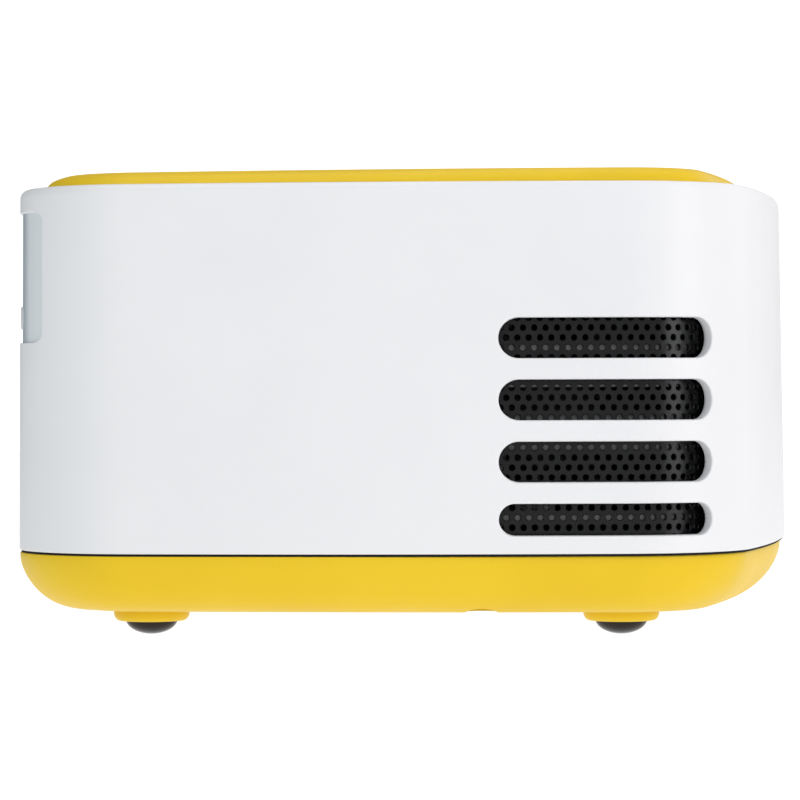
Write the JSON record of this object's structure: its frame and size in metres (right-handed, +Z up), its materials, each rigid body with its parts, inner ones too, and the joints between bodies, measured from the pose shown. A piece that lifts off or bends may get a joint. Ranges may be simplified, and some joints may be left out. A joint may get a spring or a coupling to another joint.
{
  "type": "mini projector",
  "caption": "Pocket LCD projector: white shell between a yellow top plate and tray, corner slots over perforated sheet, focus wheel, spring buttons, rubber feet.",
  "frame": {"origin": "on the surface that the feet stand on, under the middle of the case", "axes": "+X towards the side with the lens, -X towards the sockets, +Y along the length away from the pictured side, +Z up"},
  "size_m": [0.086, 0.126, 0.0512],
  "materials": {
    "white_plastic": "satin",
    "yellow_plastic": "satin",
    "black_plastic": "matte",
    "grey_plastic": "matte",
    "black_steel": "satin",
    "soft_rubber": "smooth",
    "optical_glass": "polished",
    "silver_mirror": "polished",
    "bare_aluminium": "extruded",
    "plated_steel": "plated",
    "turned_brass": "turned",
    "board_laminate": "lacquered",
    "led_phosphor": "matte",
    "paper_cone": "pressed paper",
    "ribbon_film": "film"
  },
  "bodies": {
    "base": {"main_shell": "white_plastic", "top_plate": "yellow_plastic", "bottom_tray": "yellow_plastic", "seam_gasket": "soft_rubber", "foot_pad_rear_near": "soft_rubber", "foot_pad_rear_far": "soft_rubber", "foot_pad_front_near": "soft_rubber", "foot_pad_front_far": "soft_rubber", "case_screw_rear_near": "plated_steel", "case_screw_front_near": "plated_steel", "case_screw_rear_far": "plated_steel", "case_screw_front_far": "plated_steel", "tripod_insert": "turned_brass", "vent_mesh_near": "black_steel", "vent_mesh_far": "black_steel", "vent_frame_near": "grey_plastic", "vent_frame_far": "grey_plastic", "lens_holder": "black_plastic", "lens_bezel": "black_plastic", "engine_box": "black_plastic", "engine_lid": "black_plastic", "lcd_panel": "black_plastic", "lcd_ribbon": "ribbon_film", "fresnel_inner": "optical_glass", "fresnel_outer": "optical_glass", "mirror": "silver_mirror", "condenser_lens": "optical_glass", "led_board": "board_laminate", "led_chip": "led_phosphor", "heat_sink": "bare_aluminium", "fan_frame": "black_plastic", "speaker_frame": "black_steel", "speaker_cone": "paper_cone", "main_board": "board_laminate", "hdmi_port": "plated_steel", "usb_port": "plated_steel", "card_slot": "plated_steel", "av_jack": "black_plastic", "dc_jack": "black_plastic", "ir_window": "white_plastic", "button_board": "board_laminate", "status_light": "optical_glass"},
    "focus_wheel": {"focus_ring": "grey_plastic"},
    "lens_carrier": {"lens_barrel": "black_plastic", "front_lens": "optical_glass", "middle_lens": "optical_glass", "rear_lens": "optical_glass"},
    "fan_wheel": {"fan_rotor": "black_plastic"},
    "ok_key": {"ok_button": "white_plastic"},
    "up_key": {"up_button": "white_plastic"},
    "down_key": {"down_button": "white_plastic"},
    "left_key": {"left_button": "white_plastic"},
    "right_key": {"right_button": "white_plastic"},
    "power_key": {"power_button": "white_plastic"},
    "menu_key": {"menu_button": "white_plastic"},
    "source_key": {"source_button": "white_plastic"}
  },
  "joints": [
    {"name": "focus_turn", "type": "hinge", "parent": "base", "child": "focus_wheel", "pos_m": [0.026, 0.024, 0.0284], "axis": [1, 0, 0], "range_deg": [0, 150]},
    {"name": "barrel_slide", "type": "slide", "parent": "base", "child": "lens_carrier", "axis": [1, 0, 0], "range_m": [0, 0.004]},
    {"name": "fan_spin", "type": "hinge", "parent": "base", "child": "fan_wheel", "pos_m": [0.014, -0.045, 0.0244], "axis": [0, 1, 0], "continuous": true},
    {"name": "ok_press", "type": "slide", "parent": "base", "child": "ok_key", "axis": [0, 0, -1], "range_m": [0, 0.0004], "stiffness_N_per_m": 2500},
    {"name": "up_press", "type": "slide", "parent": "base", "child": "up_key", "axis": [0, 0, -1], "range_m": [0, 0.0004], "stiffness_N_per_m": 2500},
    {"name": "down_press", "type": "slide", "parent": "base", "child": "down_key", "axis": [0, 0, -1], "range_m": [0, 0.0004], "stiffness_N_per_m": 2500},
    {"name": "left_press", "type": "slide", "parent": "base", "child": "left_key", "axis": [0, 0, -1], "range_m": [0, 0.0004], "stiffness_N_per_m": 2500},
    {"name": "right_press", "type": "slide", "parent": "base", "child": "right_key", "axis": [0, 0, -1], "range_m": [0, 0.0004], "stiffness_N_per_m": 2500},
    {"name": "power_press", "type": "slide", "parent": "base", "child": "power_key", "axis": [0, 0, -1], "range_m": [0, 0.0004], "stiffness_N_per_m": 2500},
    {"name": "menu_press", "type": "slide", "parent": "base", "child": "menu_key", "axis": [0, 0, -1], "range_m": [0, 0.0004], "stiffness_N_per_m": 2500},
    {"name": "source_press", "type": "slide", "parent": "base", "child": "source_key", "axis": [0, 0, -1], "range_m": [0, 0.0004], "stiffness_N_per_m": 2500}
  ],
  "couplings": [
    {"joint": "barrel_slide", "follows": "focus_turn", "m_per_rad": 0.00152}
  ]
}
